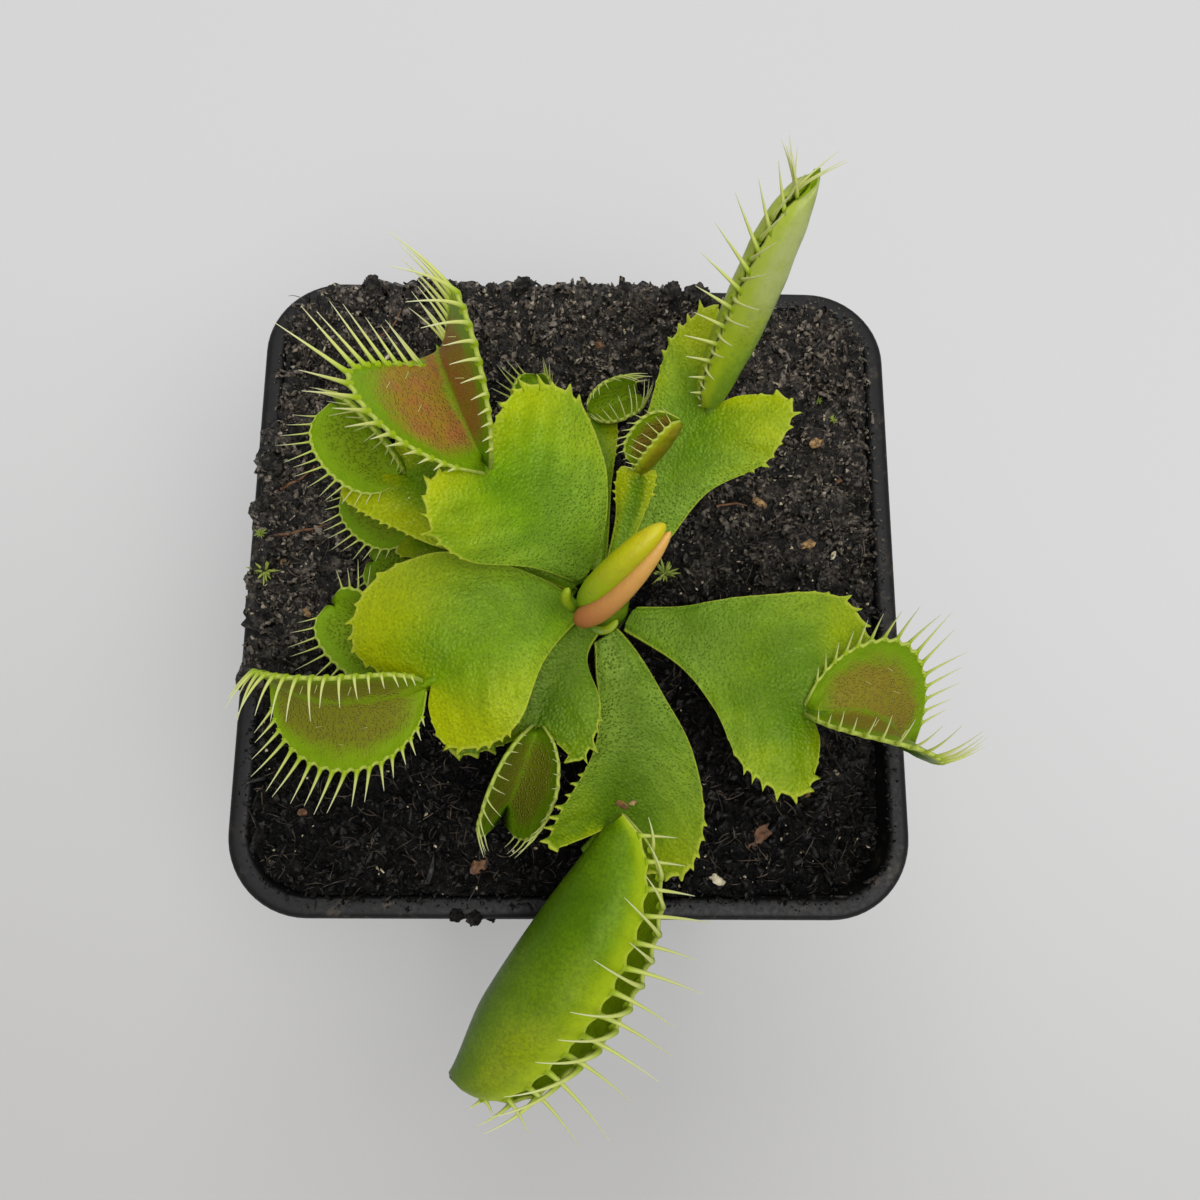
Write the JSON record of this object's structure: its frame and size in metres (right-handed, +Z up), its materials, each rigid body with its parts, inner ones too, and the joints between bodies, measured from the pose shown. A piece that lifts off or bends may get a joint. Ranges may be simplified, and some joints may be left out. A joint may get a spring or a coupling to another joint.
{
  "type": "potted venus flytrap",
  "caption": "Low rosette of winged leaves ending in toothed snap traps, some open and some shut, growing from peat in a small square black nursery pot.",
  "frame": {"origin": "centre of the pot's underside, on the surface it stands on", "axes": "+Z up; +X to the viewer's right and +Y away from the viewer, as the picture shows the pot from above; the square pot's sides lie along X and Y"},
  "size_m": [0.0742, 0.0914, 0.1001],
  "materials": {
    "pot": "satin",
    "soil": "rough",
    "rhizome": "matte",
    "leaf": "satin",
    "young_leaf": "satin"
  },
  "bodies": {
    "root": {"pot": "pot", "soil": "soil", "rhizome_with_roots": "rhizome", "leaf_back_left": "leaf", "leaf_left": "leaf", "leaf_front_left": "leaf", "leaf_front": "leaf", "leaf_right": "leaf", "leaf_back_right": "leaf", "leaf_far_left": "leaf", "leaf_low_left_rear": "leaf", "leaf_low_left_middle": "leaf", "leaf_low_left_front": "leaf", "leaf_rear": "leaf", "leaf_rear_left": "leaf", "leaf_small_rear": "leaf", "leaf_young_rolled": "young_leaf"}
  },
  "joints": []
}
